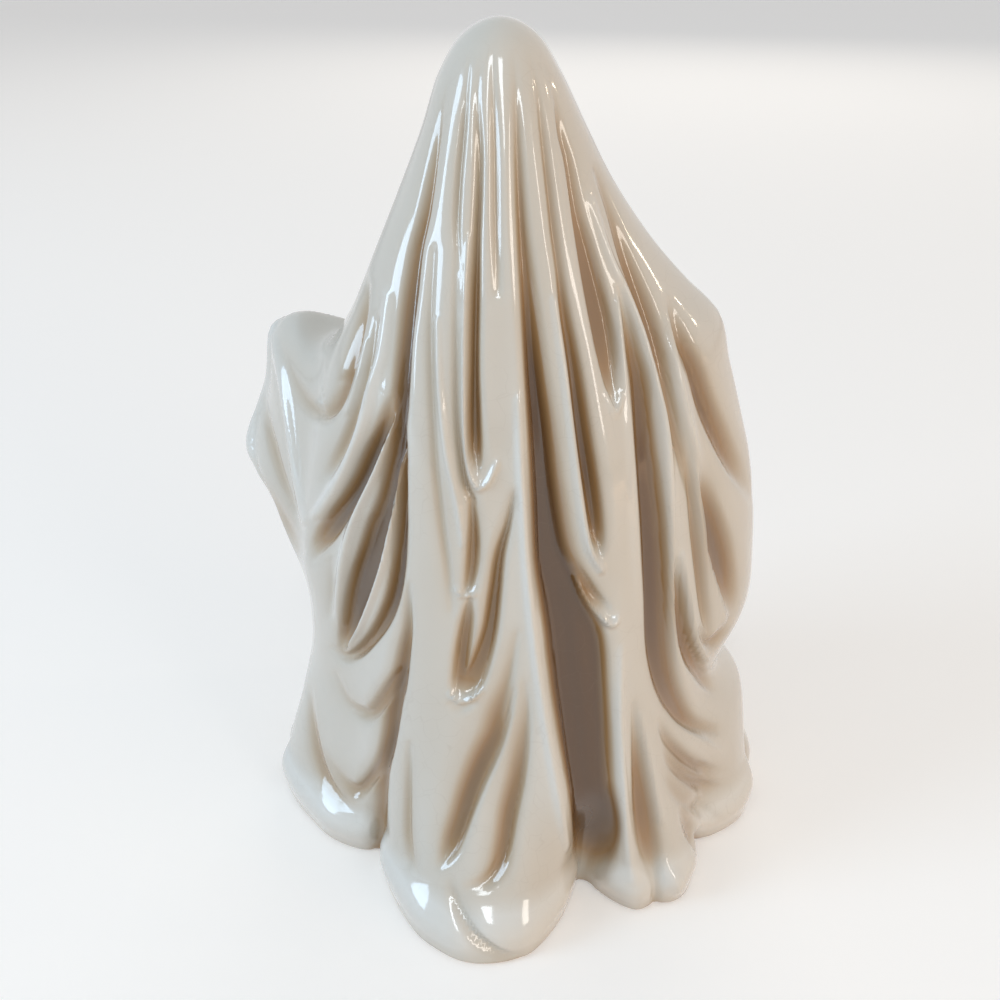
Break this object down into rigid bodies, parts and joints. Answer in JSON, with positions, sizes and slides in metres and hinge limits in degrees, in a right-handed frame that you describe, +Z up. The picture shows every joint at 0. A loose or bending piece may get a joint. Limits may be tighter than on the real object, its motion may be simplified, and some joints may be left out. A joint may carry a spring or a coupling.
{
  "type": "ceramic ghost figure",
  "caption": "Hollow slip-cast ceramic figure of a draped ghost with one arm raised, cut-out face, floor slab and a pour hole that takes a clip-in light.",
  "frame": {"origin": "centre of the pour hole in the figure's foot, on the table", "axes": "+Z up, the face looks along -Y, the back along +Y, the figure's left hand is on +X"},
  "size_m": [0.1927, 0.178, 0.28],
  "materials": {
    "cream_glaze": "gloss",
    "bare_bisque": "matte"
  },
  "bodies": {
    "root": {"drape_body": "cream_glaze", "left_arm_drape": "cream_glaze", "right_arm_drape": "cream_glaze", "base_floor": "bare_bisque"}
  },
  "joints": []
}
